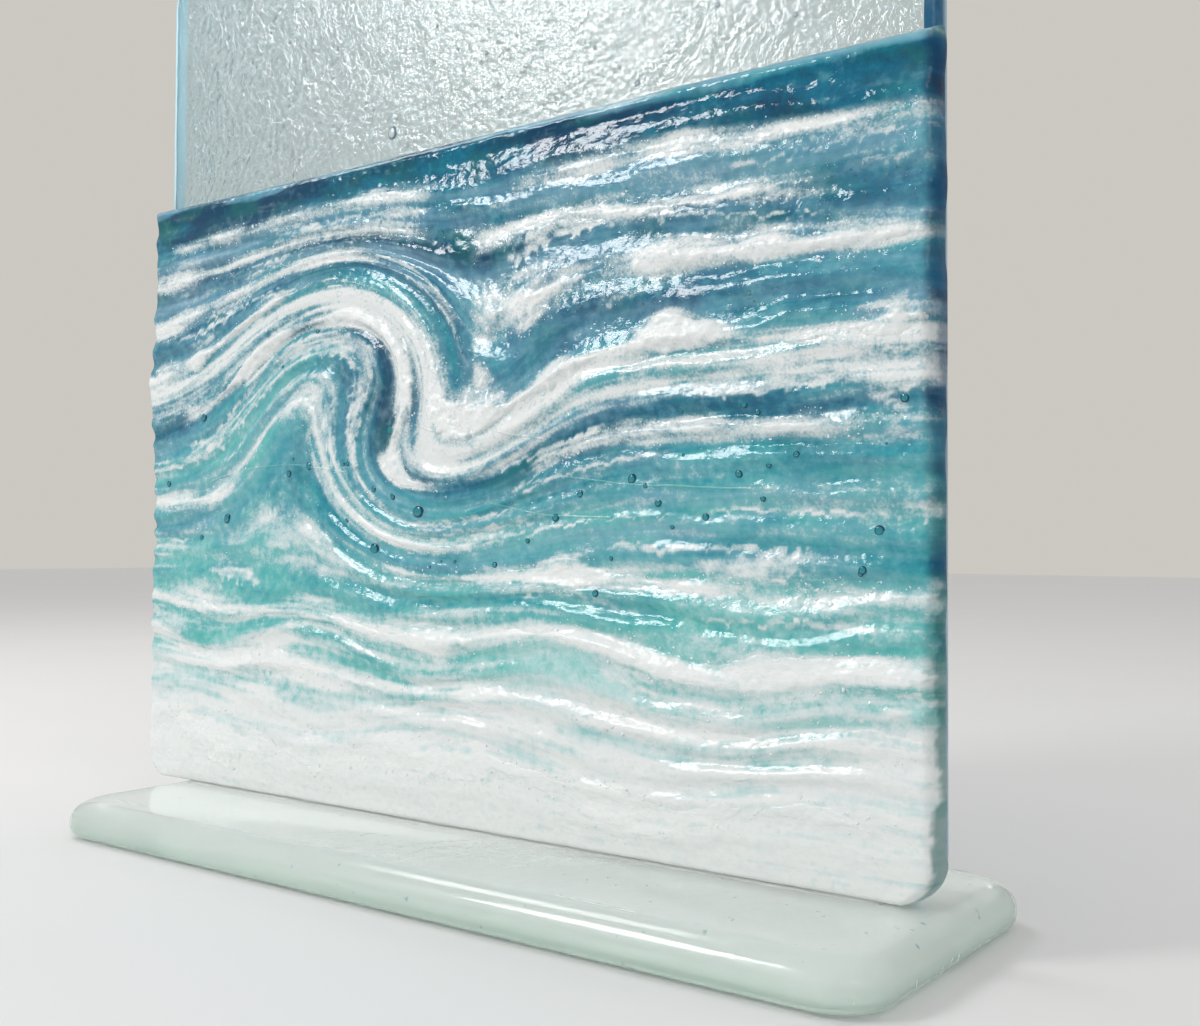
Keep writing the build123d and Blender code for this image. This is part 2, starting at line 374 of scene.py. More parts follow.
def to_frame(x, height, z):
    """Points of the frame, in metres, from places on the panel."""
    return (np.stack([x, -height, z], axis=-1) + ORIGIN) * MM


def add_object(name, data):
    """An object that shows its data in the scene."""
    made = bpy.data.objects.new(name, data)
    bpy.context.scene.collection.objects.link(made)
    return made


def make_piece(name, points, faces, finish, nodes=(), tints=None):
    """A finished piece from points and faces, riding on the frame's one body."""
    mesh = bpy.data.meshes.new(name)
    mesh.from_pydata(points.reshape(-1, 3).tolist(), [], faces)
    mesh.update()
    for key, value in (tints or {}).items():
        add_tint(mesh, key, value)
    return place_piece(name, mesh, finish, nodes)


def add_tint(mesh, key, value):
    """A number at each point of a mesh, for its finish or its geometry tree to read."""
    values = np.ascontiguousarray(np.ravel(value), dtype=np.float32)
    mesh.attributes.new(key, "FLOAT", "POINT").data.foreach_set("value", values)


def place_piece(name, mesh, finish, nodes=()):
    """A finished piece from a mesh, with its finish, body and replaced nodes."""
    mesh.polygons.foreach_set("use_smooth", np.full(len(mesh.polygons), True))
    mesh.set_sharp_from_angle(angle=SHARP_ANGLE)
    if not mesh.materials:
        mesh.materials.append(finish)
    piece = add_object(name, mesh)
    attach(piece, "root")
    if nodes:
        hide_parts(*nodes)
    return piece


def grid_faces(rows, columns):
    """Quads of a grid of points, seen from the front."""
    index = np.arange(rows * columns).reshape(rows, columns)
    quads = np.stack([index[:-1, :-1], index[:-1, 1:], index[1:, 1:], index[1:, :-1]], axis=-1)
    return quads.reshape(-1, 4)


def grid_border(rows, columns):
    """The points round a grid, anticlockwise from its lower left corner."""
    index = np.arange(rows * columns).reshape(rows, columns)
    return np.concatenate([index[0, :-1], index[:-1, -1], index[-1, :0:-1], index[:0:-1, 0]])


def closed_grid(front, back):
    """A closed piece from a front and a back grid of points, with walls round their borders."""
    rows, columns = front.shape[:2]
    count = rows * columns
    border = grid_border(rows, columns)
    ahead = np.roll(border, -1)
    walls = np.stack([ahead, border, border + count, ahead + count], axis=-1)
    quads = grid_faces(rows, columns)
    faces = np.concatenate([quads, quads[:, ::-1] + count, walls])
    return np.concatenate([front.reshape(-1, 3), back.reshape(-1, 3)]), faces.tolist()


def masked_shell(front, back, kept):
    """A closed piece from the kept cells of a front and a back grid."""
    rows, columns = front.shape[:2]
    count = rows * columns
    quads = grid_faces(rows, columns)[kept.ravel()]
    edges = np.concatenate([quads[:, [k, (k + 1) % 4]] for k in range(4)])
    twin = set(map(tuple, edges[:, ::-1].tolist()))
    border = np.array([edge for edge in map(tuple, edges.tolist()) if edge not in twin])
    walls = np.stack([border[:, 1], border[:, 0], border[:, 0] + count, border[:, 1] + count], axis=-1)
    faces = np.concatenate([quads, quads[:, ::-1] + count, walls])
    used, renumbered = np.unique(faces, return_inverse=True)
    points = np.concatenate([front.reshape(-1, 3), back.reshape(-1, 3)])[used]
    return points, renumbered.reshape(faces.shape).tolist(), used % count


def ring_faces(rings, around):
    """Faces of a closed piece from rings of points, one above the other, with a lid at either end."""
    index = np.arange(rings * around).reshape(rings, around)
    ahead = np.roll(index, -1, axis=1)
    quads = np.stack([index[:-1], ahead[:-1], ahead[1:], index[1:]], axis=-1).reshape(-1, 4)
    return quads.tolist() + [index[0, ::-1].tolist(), index[-1].tolist()]


def eased(radius, steps):
    """Distances in from an edge that follow its rounding."""
    return radius * (1 - np.cos(np.linspace(0, pi / 2, steps)))


# Shader sockets


class Socket:
    """A node's output, on which arithmetic adds Math nodes."""

    def __init__(self, tree, output):
        self.tree = tree
        self.output = output

    def maths(self, operation, first, second):
        return self.tree.node("ShaderNodeMath", {"operation": operation}, {0: first, 1: second})

    def __add__(self, other):
        return self.maths("ADD", self, other)

    def __radd__(self, other):
        return self.maths("ADD", other, self)

    def __sub__(self, other):
        return self.maths("SUBTRACT", self, other)

    def __rsub__(self, other):
        return self.maths("SUBTRACT", other, self)

    def __mul__(self, other):
        return self.maths("MULTIPLY", self, other)

    def __rmul__(self, other):
        return self.maths("MULTIPLY", other, self)

    def clamp(self):
        return self.maths("MAXIMUM", self.maths("MINIMUM", self, 1.0), 0.0)

    def above(self, start, gain):
        """How far the value lies above a start, times a gain, held from 0 to 1."""
        return ((self - start) * gain).clamp()


class Tree:
    """A node tree with one way to add a node."""

    def __init__(self, tree):
        self.tree = tree

    def node(self, kind, settings=None, sockets=None, output=0):
        made = self.tree.nodes.new(kind)
        for name, value in (settings or {}).items():
            if name == "stops":
                self.set_stops(made.color_ramp.elements, value)
            else:
                setattr(made, name, value)
        for name, value in (sockets or {}).items():
            if isinstance(value, Socket):
                self.tree.links.new(value.output, made.inputs[name])
            else:
                made.inputs[name].default_value = value
        return Socket(self, made.outputs[output]) if len(made.outputs) else None

    @staticmethod
    def set_stops(elements, stops):
        while len(elements) < len(stops):
            elements.new(1.0)
        for element, (position, tint) in zip(elements, stops):
            element.position = position
            element.color = opaque(tint)

    def attribute(self, name):
        return self.node("ShaderNodeAttribute", {"attribute_name": name}, None, "Fac")

    def ray(self, fact):
        return self.node("ShaderNodeLightPath", None, None, fact)

    def flow_place(self):
        places = {"X": self.attribute("along"), "Z": self.attribute("across")}
        return self.node("ShaderNodeCombineXYZ", None, places)

    def noise(self, scale, detail=3.0, stretch=(1.0, 1.0, 1.0), distortion=0.0, place=None):
        place = place or self.node("ShaderNodeTexCoord", None, None, "Object")
        turned = self.node("ShaderNodeMapping", None, {"Vector": place, "Scale": stretch})
        inputs = {"Vector": turned, "Scale": scale, "Detail": detail, "Distortion": distortion}
        return self.node("ShaderNodeTexNoise", None, inputs, "Fac")

    def mix(self, factor, first, second):
        return self.node("ShaderNodeMix", {"data_type": "RGBA"}, {0: factor, 6: first, 7: second}, 2)

    def bump(self, height, strength, distance):
        inputs = {"Height": height, "Strength": strength, "Distance": distance}
        return self.node("ShaderNodeBump", None, inputs)


def new_finish(name):
    """A material with an empty node tree."""
    material = bpy.data.materials.new(name)
    material.use_nodes = True
    material.node_tree.nodes.clear()
    return material, Tree(material.node_tree)


def close_finish(tree, sockets, volume=None):
    """End a finish in one Principled shader, and a clear volume where it has one."""
    surface = tree.node("ShaderNodeBsdfPrincipled", None, sockets)
    ends = {"Surface": surface}
    if volume:
        tint, density = volume
        inputs = {"Color": opaque(tint), "Density": density}
        ends["Volume"] = tree.node("ShaderNodeVolumeAbsorption", None, inputs)
    tree.node("ShaderNodeOutputMaterial", None, ends)


def opaque(tint):
    """A colour property as a socket colour."""
    return (*tint, 1.0)


# Settings


def colour(name, description, default):
    """A colour property."""
    return FloatVectorProperty(
        name=name, description=description, default=default, size=3, min=0, max=1, subtype="COLOR")


def spacing(name, description, default):
    """A property for the spacing of a relief's points, in millimetres."""
    return FloatProperty(name=name, description=description, default=default, min=0.2, max=4)


def length(name, description, default):
    """A property for a small length, in metres."""
    return FloatProperty(name=name, description=description, default=default, min=0, unit="LENGTH")


def amount(name, description, default):
    """A property for how many there are of something."""
    return IntProperty(name=name, description=description, default=default, min=0)


class SeascapeColours(bpy.types.PropertyGroup):
    """Colours of the glass."""

    navy: colour("Navy", "Darkest water under the horizon", (0.003, 0.055, 0.120))
    teal: colour("Teal", "Deep water", (0.003, 0.150, 0.250))
    turquoise: colour("Turquoise", "The wave's face", (0.028, 0.335, 0.390))
    aqua: colour("Aqua", "Shallow water", (0.125, 0.505, 0.475))
    pale: colour("Pale aqua", "Water over the shore", (0.520, 0.765, 0.735))
    bottle: colour("Bottle green", "Green patches in the deep water", (0.014, 0.175, 0.165))
    slate: colour("Slate", "Veils on the swells", (0.210, 0.400, 0.540))
    mist: colour("Mist", "Water with a little white in it", (0.380, 0.590, 0.640))
    # Painted shade at the sea's ends, its darkest and its lightest colour
    painted_end_shade_dark: colour("Dark rim", "Deepest colour of the sea's ends", (0.000, 0.024, 0.075))
    painted_end_shade_blue: colour("Blue rim", "Lightest colour of the sea's ends", (0.000, 0.100, 0.225))
    white: colour("White", "Foam and opal glass", (0.830, 0.848, 0.842))
    lean: colour("Lean white", "Foam so thin that the water shows", (0.560, 0.710, 0.740))
    milk: colour("Milk", "White worked into the water", (0.850, 0.865, 0.850))
    base: colour("Base", "Light that has crossed the base", (0.600, 0.800, 0.700))
    milky: colour("Milky base", "The base's own pale body", (0.990, 1.000, 0.990))
    pale_green: colour("Pale green", "Clouds in the base", (0.930, 0.985, 0.955))
    # Painted shade at the base's rounded edge
    base_edge_painted_shade: colour("Edge green", "The base's rounded edge", (0.610, 0.820, 0.720))
    sky: colour("Sky", "Light that has crossed the back sheet", (0.150, 0.630, 0.780))
    # Painted shade and painted light on the back sheet's rounded edge
    sheet_edge_painted_shade: colour("Deep edge", "The back sheet's edge beside the sea", (0.008, 0.090, 0.195))
    sheet_edge_painted_light: colour("Pale edge", "The back sheet's edge beside the sky", (0.640, 0.860, 0.920))
    floor: colour("Floor", "The stage's floor", (0.720, 0.715, 0.710))
    wall: colour("Wall", "The stage's background", (0.600, 0.578, 0.540))


class SeascapeSizes(bpy.types.PropertyGroup):
    """Sizes of the relief and of what is scattered on it."""

    sea_cell: spacing("Sea cell", "Spacing of the sea's points, in millimetres", 0.42)
    foam_cell: spacing("Foam cell", "Spacing of the foam's points, in millimetres", 0.32)
    sky_cell: spacing("Sky cell", "Spacing of the sky's points, in millimetres", 1.0)
    grain_radius: length("Grain radius", "Mean radius of a frit grain", 0.00014)
    bead_radius: length("Bead radius", "Mean radius of a bead over a bubble", 0.0007)
    thread_radius: length("Stringer radius", "Half the width of a stringer", 0.00028)
    clear_grains: amount("Clear grains", "How many clear frit grains", 2600)
    white_grains: amount("White grains", "How many white frit grains", 4200)
    beads: amount("Beads", "How many beads over air bubbles", 46)
    sky_beads: amount("Sky beads", "How many beads over bubbles in the sky", 54)
    lens: FloatProperty(
        name="Lens", description="Focal length for a 36 mm wide frame", default=39.48, min=10, unit="CAMERA")


# Finishes

GLASS_IOR = 1.5

# How strongly the clear pieces take up light
SKY_DENSITY = 55.0
FRIT_DENSITY = 20.0
BOND_DENSITY = 20.0
BASE_DENSITY = 5.0


def sea_finish(name, matt, clear):
    """Coloured sheet glass, from navy to pale aqua, with slate veils and opal white frit worked into it, and
    painted shade at the sea's ends.
    """
    tones = bpy.context.scene.seascape_colours
    material, tree = new_finish(name)
    depth = tree.attribute("depth")
    veil = tree.attribute("veil")
    white = tree.attribute("white")
    rim = tree.attribute("rim")
    path = tree.flow_place()
    wash = tree.noise(230, 4, stretch=(0.4, 1, 1), distortion=0.5, place=path)
    strand = tree.noise(460, 4, stretch=(0.14, 1, 1), distortion=0.3, place=path)
    grain = tree.noise(1900, 3)
    blotch = tree.noise(520, 3)
    stops = (
        (0.02, tones.navy),
        (0.22, tones.teal),
        (0.46, tones.turquoise),
        (0.70, tones.aqua),
        (0.97, tones.pale),
    )
    shade = (depth + (wash - 0.5) * 0.5 + (blotch - 0.5) * 0.3 + (grain - 0.5) * 0.16).clamp()
    water = tree.node("ShaderNodeValToRGB", {"stops": stops}, {"Fac": shade})
    cloud = tree.noise(150, 2, stretch=(0.5, 1, 1), distortion=0.4, place=path)
    green = cloud.above(0.46, gain=4.0) * (0.75 - depth).clamp()
    water = tree.mix(green, water, opaque(tones.bottle))
    veiled = tree.mix((veil * (strand * 1.8 - 0.1)).clamp(), water, opaque(tones.slate))
    crisp = (tree.attribute("across") * 13.0 - 0.25).clamp()
    loose = white + (blotch - 0.5) * 0.7 + (strand - 0.5) * 0.9
    veiled = tree.mix(loose.above(0.05, gain=1.3) * 0.6, veiled, opaque(tones.mist))
    frit = loose + (grain - 0.5) * (crisp * 0.7 + 0.2)
    leaner = ((blotch - 0.47) * 1.3 + (strand - 0.5) * 1.2).clamp() * 0.75
    whites = tree.mix(leaner, opaque(tones.milk), opaque(tones.lean))
    milky = tree.mix(frit.above(0.36, gain=1.7), veiled, whites)
    # Painted shade at the sea's ends: dark navy to blue, bottle green where the water is paler, mixed in by
    # the rim and less under white.
    deep = tree.mix((wash * 2.4 - 0.7).clamp(), opaque(tones.painted_end_shade_dark), opaque(tones.painted_end_shade_blue))
    deep = tree.mix(depth.above(0.4, gain=2.2), deep, opaque(tones.bottle))
    with_painted_end_shade = tree.mix(rim * (1 - white * 0.25), milky, deep)
    fine = tree.noise(900, 3, stretch=(0.7, 1, 1))
    close_finish(tree, {
        "Base Color": with_painted_end_shade,
        "Roughness": white * matt + (strand * 0.1 + 0.02),
        "IOR": GLASS_IOR,
        "Specular IOR Level": 0.3,
        "Transmission Weight": clear,
        "Normal": tree.bump(fine, 0.3, 0.0004),
    })
    return material


def grain_finish():
    """Loose grains of white opal frit, fused to a gloss."""
    tones = bpy.context.scene.seascape_colours
    material, tree = new_finish("white_grain")
    cloud = tree.noise(260, 4, stretch=(0.5, 1, 1))
    grain = tree.noise(1700, 3)
    close_finish(tree, {
        "Base Color": tree.mix((cloud * 2 - 0.6).clamp(), opaque(tones.white), opaque(tones.lean)),
        "Roughness": grain * 0.25 + 0.12,
        "IOR": GLASS_IOR,
        "Normal": tree.bump(grain, 0.4, 0.0005),
    })
    return material


def clear_finish(name, tint, density, *, rough, ripple_scale, ripple_strength, body=(1, 1, 1), clear=1.0):
    """Clear or milky glass with a rippled skin and a faint colour in its depth."""
    material, tree = new_finish(name)
    ripple = tree.noise(ripple_scale, 3)
    smear = tree.noise(60, 2)
    close_finish(tree, {
        "Base Color": opaque(body),
        "Roughness": smear * rough,
        "IOR": GLASS_IOR,
        "Transmission Weight": clear,
        "Normal": tree.bump(ripple, ripple_strength, 0.0005),
    }, (tint, density))
    return material


def base_finish():
    """Pale green float glass, milky from the kiln shelf, with painted shade that makes it greener at its
    rounded edge, with specks and scratches.
    """
    tones = bpy.context.scene.seascape_colours
    material, tree = new_finish("base_glass")
    ripple = tree.noise(260, 3)
    smear = tree.noise(60, 2)
    cloud = tree.noise(34, 3)
    scratch = tree.noise(210, 4, stretch=(0.06, 1.6, 1), distortion=0.6)
    fleck = tree.noise(420, 1)
    # Painted shade: the base turns greener towards its rounded edge, as if seen through its whole width, most
    # of all at its foot
    edge = (tree.attribute("edge") * (cloud * 0.7 + 0.6)).clamp()
    body = tree.mix((cloud * 1.6 - 0.5).clamp() * 0.5, opaque(tones.milky), opaque(tones.pale_green))
    body = tree.mix(edge * 0.8, body, opaque(tones.base_edge_painted_shade))
    body = tree.mix(fleck.above(0.735, gain=16.0) * 0.55, body, opaque(tones.turquoise))
    scored = scratch.above(0.66, gain=9.0)
    close_finish(tree, {
        "Base Color": body,
        "Roughness": smear * 0.2 + scored * 0.3 + edge * 0.12,
        "IOR": GLASS_IOR,
        "Transmission Weight": 0.64,
        "Normal": tree.bump((ripple + scored * 0.2) * (1 - edge), 0.13, 0.0005),
    }, (tones.base, BASE_DENSITY))
    return material


def bubble_finish(name, middle, edge, clear):
    """Glass over an air bubble, with painted shade round its rim and pale in the middle."""
    material, tree = new_finish(name)
    ring = tree.attribute("ring")
    mottle = tree.noise(1200, 2)
    # Painted shade: darker towards the bead's rim, where light bends round an air bubble
    painted_ring_shade = ((ring - 0.35) * 3.0 + (mottle - 0.5) * 0.6).clamp()
    close_finish(tree, {
        "Base Color": tree.mix(painted_ring_shade, opaque(middle), opaque(edge)),
        "Roughness": mottle * 0.1,
        "IOR": GLASS_IOR,
        "Transmission Weight": clear,
    })
    return material


def sheet_edge_finish():
    """The back sheet's rounded edges, where the colour of its whole width gathers, painted in: pale painted
    light where glow is high, deep painted shade where it is low, and a painted glow from emission.
    """
    tones = bpy.context.scene.seascape_colours
    material, tree = new_finish("sheet_edge")
    glow = tree.attribute("glow")
    cloud = tree.noise(120, 3, stretch=(1, 1, 0.5))
    speck = tree.noise(1600, 2)
    shade = tree.mix((glow + (cloud - 0.5) * 0.7).clamp(), opaque(tones.sheet_edge_painted_shade), opaque(tones.sheet_edge_painted_light))
    close_finish(tree, {
        "Base Color": shade,
        "Roughness": speck * 0.15 + 0.02,
        "IOR": GLASS_IOR,
        "Specular IOR Level": 0.28,
        "Transmission Weight": 0.5,
        # A painted glow: the edge gives off its own colour as light, though it is no lamp
        "Emission Color": shade,
        "Emission Strength": 0.25,
        "Normal": tree.bump(speck, 0.15, 0.0004),
    }, (tones.sky, SKY_DENSITY))
    return material


# Geometry trees


def new_group(name, inputs):
    """A geometry tree that takes and gives a mesh, and its named inputs as sockets."""
    group = bpy.data.node_groups.new(name, "GeometryNodeTree")
    group.interface.new_socket("Geometry", in_out="OUTPUT", socket_type="NodeSocketGeometry")
    inputs = {"Geometry": "NodeSocketGeometry", **inputs, "Finish": "NodeSocketMaterial"}
    for label, kind in inputs.items():
        group.interface.new_socket(label, in_out="INPUT", socket_type=kind)
    tree = Tree(group)
    return group, tree, {label: tree.node("NodeGroupInput", output=label) for label in inputs}


def close_group(tree, geometry, finish):
    """End a geometry tree in plain geometry with its finish."""
    real = tree.node("GeometryNodeRealizeInstances", None, {"Geometry": geometry})
    finished = tree.node("GeometryNodeSetMaterial", None, {"Geometry": real, "Material": finish})
    tree.node("NodeGroupOutput", None, {"Geometry": finished})


def grow_mesh(name, mesh, group, values):
    """The plain mesh that a geometry tree makes from a mesh."""
    source = add_object(name, mesh)
    modifier = source.modifiers.new(name, "NODES")
    modifier.node_group = group
    for item in group.interface.items_tree:
        if item.in_out == "INPUT" and item.name in values:
            modifier[item.identifier] = values[item.name]
    evaluated = source.evaluated_get(bpy.context.evaluated_depsgraph_get())
    grown = bpy.data.meshes.new_from_object(evaluated)
    source.modifiers.remove(modifier)
    bpy.data.objects.remove(source)
    return grown


def grain_group():
    """Small flattened grains on points, each of its point's own size and turned at random."""
    inputs = {
        "Detail": "NodeSocketInt",
        "Flatness": "NodeSocketFloat",
        "Longest": "NodeSocketFloat",
        "Seed": "NodeSocketInt",
    }
    group, tree, given = new_group("grains", inputs)
    seed = given["Seed"]
    size = tree.node("GeometryNodeInputNamedAttribute", {"data_type": "FLOAT"}, {"Name": "size"})
    ball = tree.node("GeometryNodeMeshIcoSphere", None, {"Radius": 1.0, "Subdivisions": given["Detail"]})
    spot = tree.node("GeometryNodeInputPosition")
    aside = tree.node("ShaderNodeSeparateXYZ", None, {0: spot}, "X")
    above = tree.node("ShaderNodeSeparateXYZ", None, {0: spot}, "Z")
    # ring: how far out from its middle a point lies, which the bubble finishes use for painted shade round a
    # bubble's rim
    ring = {"Geometry": ball, "Name": "ring", "Value": aside * aside + above * above}
    ball = tree.node("GeometryNodeStoreNamedAttribute", {"data_type": "FLOAT", "domain": "POINT"}, ring)
    number = {"data_type": "FLOAT"}
    spin = tree.node("FunctionNodeRandomValue", number, {2: 0.0, 3: 2 * pi, "Seed": seed}, 1)
    turn = tree.node("ShaderNodeCombineXYZ", None, {"Y": spin})
    lengths = {2: 0.8, 3: given["Longest"], "Seed": seed + 1}
    stretch = tree.node("FunctionNodeRandomValue", number, lengths, 1)
    sides = {"X": size * stretch, "Y": size * given["Flatness"], "Z": size}
    scale = tree.node("ShaderNodeCombineXYZ", None, sides)
    links = {"Points": given["Geometry"], "Instance": ball, "Rotation": turn, "Scale": scale}
    close_group(tree, tree.node("GeometryNodeInstanceOnPoints", None, links), given["Finish"])
    return group


def thread_group():
    """Round threads along paths, of each point's own radius."""
    inputs = {"Radius": "NodeSocketFloat", "Sides": "NodeSocketInt"}
    group, tree, given = new_group("threads", inputs)
    size = tree.node("GeometryNodeInputNamedAttribute", {"data_type": "FLOAT"}, {"Name": "size"})
    curves = tree.node("GeometryNodeMeshToCurve", None, {0: given["Geometry"]})
    circle = {"Resolution": given["Sides"], "Radius": given["Radius"]}
    ring = tree.node("GeometryNodeCurvePrimitiveCircle", {"mode": "RADIUS"}, circle)
    sized = tree.node("GeometryNodeSetCurveRadius", None, {"Curve": curves, "Radius": size})
    swept = {"Curve": sized, "Profile Curve": ring, "Fill Caps": True}
    close_group(tree, tree.node("GeometryNodeCurveToMesh", None, swept), given["Finish"])
    return group


def sized_points(name, points, sizes, edges=()):
    """A mesh of points, and edges where there are any, that carries a size at each point."""
    mesh = bpy.data.meshes.new(name)
    mesh.from_pydata(points.tolist(), list(edges), [])
    add_tint(mesh, "size", sizes)
    return mesh


def node_islands(node):
    """The points of each separate solid of a node, in panel places."""
    mesh = frame["nodes"][node].data
    parent = {}

    def top(key):
        while parent.setdefault(key, key) != key:
            key = parent[key]
        return key

    keys = point_keys(panel_points(mesh))
    for polygon in mesh.polygons:
        first, *others = (keys[index] for index in polygon.vertices)
        for other in others:
            parent[top(other)] = top(first)
    islands = {}
    for key in sorted(set(keys)):
        islands.setdefault(top(key), []).append(key)
    return [np.array(island) for island in islands.values()]


# Pieces


class SEASCAPE_OT_back_sheet(bpy.types.Operator):
    """Build the clear back sheet, rippled where it is the sky"""

    bl_idname = "seascape.back_sheet"
    bl_label = "Back sheet"

    def execute(self, context):
        tones = context.scene.seascape_colours
        cell = context.scene.seascape_sizes.sky_cell
        finish = clear_finish(
            "sky_glass", tones.sky, SKY_DENSITY, rough=0.10, ripple_scale=750, ripple_strength=0.6)
        edge_finish = sheet_edge_finish()
        rim = eased(SHEET_ROUND, 6)
        inner = np.arange(SHEET_ROUND, SHEET_TALL - SHEET_ROUND, cell)
        z = np.concatenate([rim[:-1], inner, SHEET_TALL - rim[::-1]])
        flat = 1 - SHEET_ROUND / SHEET_HALF
        inner = np.linspace(-flat, flat, int(2 * SHEET_HALF / cell))
        share = np.concatenate([rim[:-1] / SHEET_HALF - 1, inner, 1 - rim[-2::-1] / SHEET_HALF])
        near_end = np.minimum(z, SHEET_TALL - z)
        cut = np.clip(CORNER_RADIUS - near_end, 0, CORNER_RADIUS)
        half = SHEET_HALF - (CORNER_RADIUS - np.sqrt(CORNER_RADIUS**2 - cut**2))
        x = half[:, None] * share[None, :]
        z = np.broadcast_to(z[:, None], x.shape)
        inset = np.minimum(np.minimum(half[:, None] - np.abs(x), near_end[:, None]) / SHEET_ROUND, 1)
        fall = SHEET_ROUND * (1 - np.sqrt(1 - (1 - inset) ** 2))
        bare = step(0, 6, z - np.interp(x, PLACES, LINES[-1]))
        ripple = 0.15 * rough_noise(x / 3.2, z / 4.2, 400, 3) * bare * step(0, 1, inset)
        front = to_frame(x, ripple - SHEET_GAP - fall, z)
        dents = 0.05 * rough_noise(x / 6, z / 6, 410, 2) * step(0, 1, inset)
        back = to_frame(x, fall - SHEET_DEPTH - dents, z)
        points, faces = closed_grid(front, back)
        # glow: painted light and shade for the sheet's rounded edges. It is 1 (pale) at the left above the
        # horizon and falls to 0 (deep) towards the right and below the horizon. The back is kept at least at
        # 0.45.
        glow = step(SHEET_HALF, -SHEET_HALF, x) * step(-25, 15, z - LEVELS[-1])
        glow = np.concatenate([glow.ravel(), np.maximum(glow, 0.45).ravel()])
        sheet = make_piece("back_sheet_glass", points, faces, finish, ["back_sheet"], tints={"glow": glow})
        sheet.data.materials.append(edge_finish)
        rounded = np.tile((inset < 1).ravel(), 2)[np.array(faces)].all(axis=1)
        sheet.data.polygons.foreach_set("material_index", rounded.astype(np.int32))
        return {"FINISHED"}


class SEASCAPE_OT_sea_strips(bpy.types.Operator):
    """Build the fused strips of the sea, whose relief and colour run on from strip to strip"""

    bl_idname = "seascape.sea_strips"
    bl_label = "Sea strips"

    def execute(self, context):
        cell = context.scene.seascape_sizes.sea_cell
        finish = sea_finish("sea_glass", matt=0.12, clear=0.14)
        rim = eased(END_ROUND, 8)
        for index, name in enumerate(STRIPS):
            low, high = LINES[index], LINES[index + 1]
            tall = (high - low).max()
            rows = int(tall / cell)
            across = np.linspace(0, 1, rows)
            if index == len(STRIPS) - 1:
                below = np.linspace(0, 1 - HORIZON_ROUND / tall, rows)[:-1]
                across = np.concatenate([below, 1 - eased(HORIZON_ROUND, 9)[::-1] / tall])
            if index == 0:
                above = np.linspace(FOOT_ROUND / tall, 1, rows)
                across = np.concatenate([eased(FOOT_ROUND, 6)[:-1] / tall, above])
            left = -sea_end(low[0] + (high[0] - low[0]) * across)[:, None]
            right = sea_end(low[-1] + (high[-1] - low[-1]) * across)[:, None]
            middle = np.linspace(0, 1, int(2 * SEA_HALF / cell))[None, :]
            span = (left + rim[-1]) + middle * (right - left - 2 * rim[-1])
            x = np.concatenate([left + rim[None, :-1], span, right - rim[None, -2::-1]], axis=1)
            bottom = np.interp(x, PLACES, low)
            z = bottom + across[:, None] * (np.interp(x, PLACES, high) - bottom)
            front = to_frame(x, sea_height(x, z), z)
            back = to_frame(x, np.full(x.shape, FUSE_GAP), z)
            points, faces = closed_grid(front, back)
            tints = {key: np.tile(value.ravel(), 2) for key, value in sea_tints(x, z).items()}
            make_piece(name.replace("strip", "glass"), points, faces, finish, [name], tints=tints)
        return {"FINISHED"}


class SEASCAPE_OT_foam(bpy.types.Operator):
    """Build the deposits of white frit, ragged and lumpy, seated in the sea's relief"""

    bl_idname = "seascape.foam"
    bl_label = "Foam"

    def execute(self, context):
        cell = context.scene.seascape_sizes.foam_cell
        finish = sea_finish("white_opal", matt=0.2, clear=0.1)
        for name in FOAM:
            low, high, left, right = FOAM_LINES[name]
            seed = 600 + 10 * FOAM.index(name)
            middle = (low + high) / 2
            aside = np.clip(CURL_X, left, right) - CURL_X
            winds = np.hypot(aside, np.interp(CURL_X, PLACES, middle) - CURL_Z) < 1.5 * CURL_RADIUS
            reach = CURL_RADIUS if winds else (high - low).max() * 1.4 + 2.5
            end = SEA_HALF + 0.3
            across = np.arange(max(left - reach, -end), min(right + reach, end), cell)
            x, away = np.meshgrid(across, np.arange(-reach, reach, cell))
            z = away + np.interp(x, PLACES, middle)
            inside = foam_field(name, x, z)
            lumps = 0.3 * rough_noise(x / 3.2, z / 2.2, seed, 3)
            lumps = lumps + 0.07 * rough_noise(x / 0.9, z / 0.9, seed + 4, 2)
            calm = 0.22 + 0.78 * step(22, 75, np.interp(x, PLACES, middle))
            rise = calm * FOAM_RISE[name] * (1 - np.exp(-np.clip(inside, 0, None) / 1.3)) * (0.7 + lumps)
            rise = np.where(inside > 0, rise, inside * 0.5)
            surface = sea_height(x, z)
            ragged = 0.9 + 1.3 * smooth_noise(z / 0.8, 0 * z, seed + 6)
            rise = np.where(sea_end(z) - np.abs(x) > ragged, rise, -1.0)
            shows = rise > -FOAM_CUT
            kept = shows[:-1, :-1] | shows[:-1, 1:] | shows[1:, :-1] | shows[1:, 1:]
            front = to_frame(x, surface + np.maximum(rise, -FOAM_SINK), z)
            back = to_frame(x, surface - FOAM_SEAT, z)
            points, faces, used = masked_shell(front, back, kept)
            tints = sea_tints(x.ravel()[used], z.ravel()[used])
            thin = np.exp(-np.clip(inside.ravel()[used], 0, None) / 1.0)
            tints["white"] = np.clip(np.maximum(tints["white"], 1.15 - thin), 0, 1)
            make_piece(name + "_frit", points, faces, finish, [name], tints=tints)
        return {"FINISHED"}


# Points along a stringer, its sides, and how much paler it is than the water
STRINGER_POINTS = 40
STRINGER_SIDES = 10
STRINGER_PALER = 0.12


